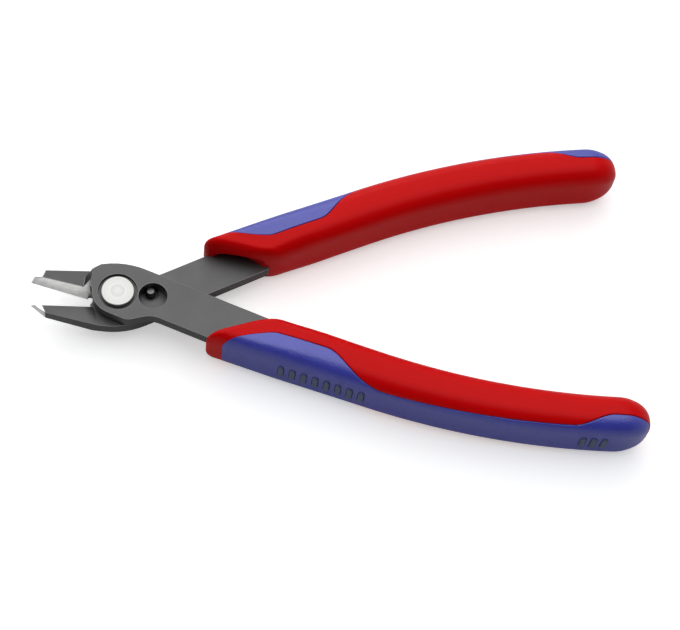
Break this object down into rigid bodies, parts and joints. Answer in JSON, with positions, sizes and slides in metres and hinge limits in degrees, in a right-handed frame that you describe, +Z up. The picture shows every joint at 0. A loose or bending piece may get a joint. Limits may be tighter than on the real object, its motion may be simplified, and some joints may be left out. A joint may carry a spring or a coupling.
{
  "type": "flush cut pliers",
  "caption": "Flush-cutting pliers: lapped steel levers on a rivet with upturned bevelled jaws, a hidden opening spring, and curved hard-and-soft moulded grips with finger studs",
  "frame": {"origin": "Centre of the footprint of the open tool, on the table it lies on", "axes": "+X runs from the jaws to the handle ends, +Y towards the rear lever's handle, +Z up from the table"},
  "size_m": [0.1362, 0.0742, 0.0146],
  "materials": {
    "burnished_steel": "burnished dark tool steel, ground bright on the cutting bevels and tips",
    "polished_stainless": "turned and polished stainless steel",
    "pin_steel": "hardened steel pin",
    "spring_wire": "drawn spring wire",
    "red_hard_plastic": "satin injection-moulded hard plastic",
    "blue_soft_plastic": "fine-grained soft-touch overmould",
    "grey_stud_plastic": "smooth matt stud"
  },
  "bodies": {
    "front_half": {"front_lever": "burnished_steel", "pivot_rivet": "polished_stainless", "opening_spring": "spring_wire", "front_grip_core": "red_hard_plastic", "front_grip_panel": "blue_soft_plastic", "front_grip_stud_fore_1": "grey_stud_plastic", "front_grip_stud_fore_2": "grey_stud_plastic", "front_grip_stud_fore_3": "grey_stud_plastic", "front_grip_stud_fore_4": "grey_stud_plastic", "front_grip_stud_fore_5": "grey_stud_plastic", "front_grip_stud_fore_6": "grey_stud_plastic", "front_grip_stud_fore_7": "grey_stud_plastic", "front_grip_stud_fore_8": "grey_stud_plastic", "front_grip_stud_aft_1": "grey_stud_plastic", "front_grip_stud_aft_2": "grey_stud_plastic", "front_grip_stud_aft_3": "grey_stud_plastic"},
    "rear_half": {"rear_lever": "burnished_steel", "stop_pin": "pin_steel", "rear_grip_core": "red_hard_plastic", "rear_grip_panel": "blue_soft_plastic", "rear_grip_stud_fore_1": "grey_stud_plastic", "rear_grip_stud_fore_2": "grey_stud_plastic", "rear_grip_stud_fore_3": "grey_stud_plastic", "rear_grip_stud_fore_4": "grey_stud_plastic", "rear_grip_stud_fore_5": "grey_stud_plastic", "rear_grip_stud_fore_6": "grey_stud_plastic", "rear_grip_stud_fore_7": "grey_stud_plastic", "rear_grip_stud_fore_8": "grey_stud_plastic", "rear_grip_stud_aft_1": "grey_stud_plastic", "rear_grip_stud_aft_2": "grey_stud_plastic", "rear_grip_stud_aft_3": "grey_stud_plastic"}
  },
  "joints": [
    {"name": "jaw_pivot", "type": "hinge", "parent": "front_half", "child": "rear_half", "pos_m": [-0.04891, 0, 0.0073], "axis": [0, 0, -1], "range_deg": [0, 16.6], "stiffness_Nm_per_rad": 0.8, "springref_deg": -20.05, "deforming": ["opening_spring"]}
  ]
}
